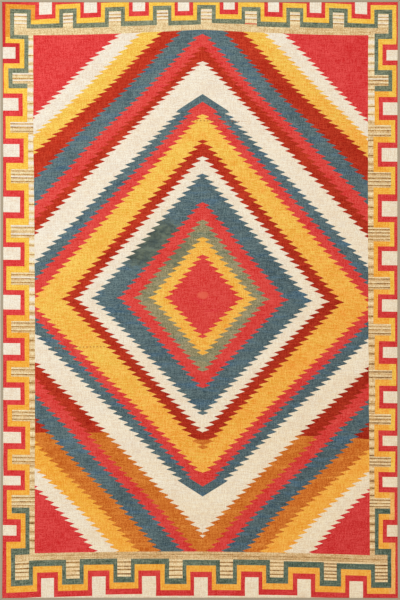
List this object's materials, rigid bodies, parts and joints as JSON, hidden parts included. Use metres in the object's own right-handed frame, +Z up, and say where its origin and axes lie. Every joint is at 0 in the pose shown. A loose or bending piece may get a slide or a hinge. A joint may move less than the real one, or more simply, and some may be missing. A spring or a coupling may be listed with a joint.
{
  "type": "rug",
  "caption": "Flat-woven cotton rug with serrated concentric lozenges, a stepped meander border and a tape binding.",
  "frame": {"origin": "middle of the rug's underside, on the floor", "axes": "+X across the width to the right, +Y along the length towards the head end, +Z up from the floor"},
  "size_m": [1.22, 1.829, 0.0038],
  "materials": {
    "woven_cotton": "hand-woven weft-faced cotton, matt, mostly madder red, yellow, indigo and cream",
    "binding_tape": "khaki cotton tape, matt, sewn on"
  },
  "bodies": {
    "root": {"woven_cloth": "woven_cotton", "binding_foot": "binding_tape", "binding_right": "binding_tape", "binding_head": "binding_tape", "binding_left": "binding_tape"}
  },
  "joints": []
}
